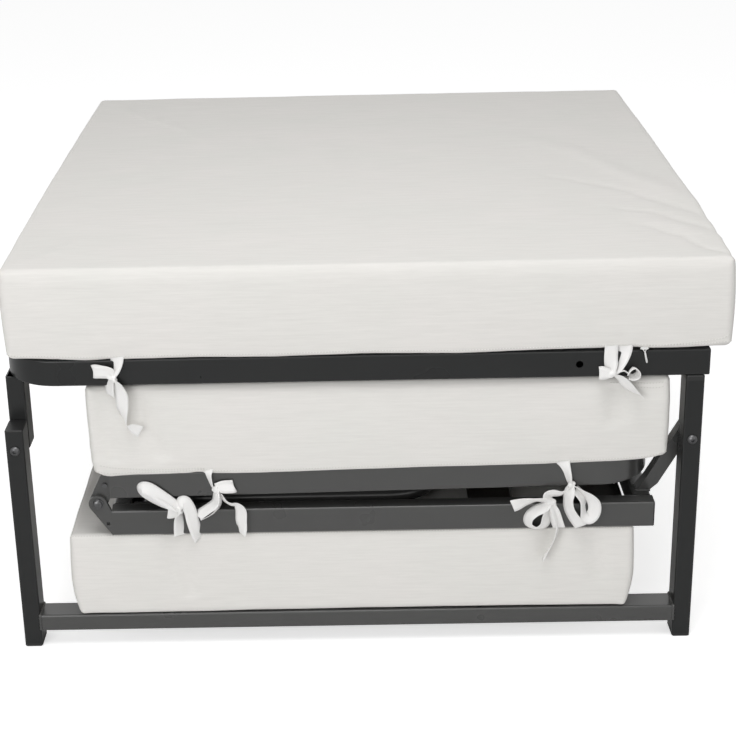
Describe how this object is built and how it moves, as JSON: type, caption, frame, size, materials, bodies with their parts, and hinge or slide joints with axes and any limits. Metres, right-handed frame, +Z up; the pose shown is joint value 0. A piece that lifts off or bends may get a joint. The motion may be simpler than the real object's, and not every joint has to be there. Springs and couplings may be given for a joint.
{
  "type": "fold out ottoman guest bed",
  "caption": "Guest bed that folds to an upholstered ottoman: foam mattresses tied to hinged tubular steel decks on a low stand, with slats and folding legs inside.",
  "frame": {"origin": "on the floor, under the middle of the folded bed", "axes": "+X to the right along the bed's length, towards the end where the inner deck's arms turn; +Y from the front to the back across the mattresses; +Z up"},
  "size_m": [0.7818, 0.8232, 0.4503],
  "materials": {
    "mattress_cover": "off-white knitted cover over foam",
    "grey_powder_coat": "dark grey semi-gloss powder coat on steel tube",
    "black_plastic": "moulded black plastic, satin",
    "birch_slats": "birch plywood stained black-brown and sealed",
    "black_zinc_fasteners": "black zinc plated",
    "zinc_nuts": "bright zinc plated"
  },
  "bodies": {
    "stand": {"front_left_leg": "grey_powder_coat", "front_right_leg": "grey_powder_coat", "rear_left_leg": "grey_powder_coat", "rear_right_leg": "grey_powder_coat", "front_rail": "grey_powder_coat", "rear_rail": "grey_powder_coat", "stand_cross_tubes": "grey_powder_coat", "foot_caps": "black_plastic", "left_leg_plugs": "black_plastic", "right_rest_caps": "black_plastic", "left_pivot_bolts": "black_zinc_fasteners", "right_pivot_bolts": "black_zinc_fasteners", "pivot_nuts": "zinc_nuts"},
    "top_deck": {"top_frame_tube": "grey_powder_coat", "top_end_tube": "grey_powder_coat", "top_stub_front": "grey_powder_coat", "top_stub_rear": "grey_powder_coat", "top_frame_plugs": "black_plastic", "top_slats": "birch_slats", "top_slat_holders": "black_plastic", "top_mattress": "mattress_cover"},
    "inner_deck": {"inner_front_tube": "grey_powder_coat", "inner_rear_tube": "grey_powder_coat", "inner_end_tube": "grey_powder_coat", "inner_hinge_tube": "grey_powder_coat", "inner_frame_plugs": "black_plastic", "swing_arm_front": "grey_powder_coat", "swing_arm_rear": "grey_powder_coat", "arm_feet": "grey_powder_coat", "inner_hinge_plates": "grey_powder_coat", "hinge_rivets": "black_zinc_fasteners", "inner_slats": "birch_slats", "inner_slat_holders": "black_plastic", "inner_leg_brackets": "grey_powder_coat", "inner_leg_pins": "black_zinc_fasteners", "inner_mattress": "mattress_cover"},
    "outer_deck": {"outer_frame_tube": "grey_powder_coat", "outer_hinge_tube": "grey_powder_coat", "outer_hinge_plates": "grey_powder_coat", "outer_plate_bolts": "black_zinc_fasteners", "outer_slats": "birch_slats", "outer_slat_holders": "black_plastic", "outer_leg_brackets": "grey_powder_coat", "outer_leg_pins": "black_zinc_fasteners", "outer_mattress": "mattress_cover"},
    "inner_leg": {"inner_leg_tube": "grey_powder_coat", "inner_leg_feet": "black_plastic"},
    "outer_leg": {"outer_leg_tube": "grey_powder_coat", "outer_leg_feet": "black_plastic"}
  },
  "joints": [
    {"name": "top_deck_lift", "type": "hinge", "parent": "stand", "child": "top_deck", "pos_m": [-0.381, 0, 0.2453], "axis": [0, -1, 0], "range_deg": [0, 100]},
    {"name": "inner_deck_swing", "type": "hinge", "parent": "stand", "child": "inner_deck", "pos_m": [0.355, 0, 0.2453], "axis": [0, 1, 0], "range_deg": [0, 180]},
    {"name": "outer_deck_unfold", "type": "hinge", "parent": "inner_deck", "child": "outer_deck", "pos_m": [-0.2954, 0, 0.1793], "axis": [0, -1, 0], "range_deg": [0, 179.3]},
    {"name": "inner_leg_fold", "type": "hinge", "parent": "inner_deck", "child": "inner_leg", "pos_m": [-0.243, 0, 0.161], "axis": [0, -1, 0], "range_deg": [0, 90]},
    {"name": "outer_leg_fold", "type": "hinge", "parent": "outer_deck", "child": "outer_leg", "pos_m": [0.22678, 0, 0.2008], "axis": [0, -1, 0], "range_deg": [0, 90]}
  ],
  "couplings": [
    {"joint": "inner_deck_swing", "follows": "top_deck_lift", "ratio": 0.11},
    {"joint": "outer_deck_unfold", "follows": "top_deck_lift", "ratio": 0.9},
    {"joint": "inner_leg_fold", "follows": "top_deck_lift", "ratio": 0.45},
    {"joint": "outer_leg_fold", "follows": "top_deck_lift", "ratio": 0.45}
  ]
}
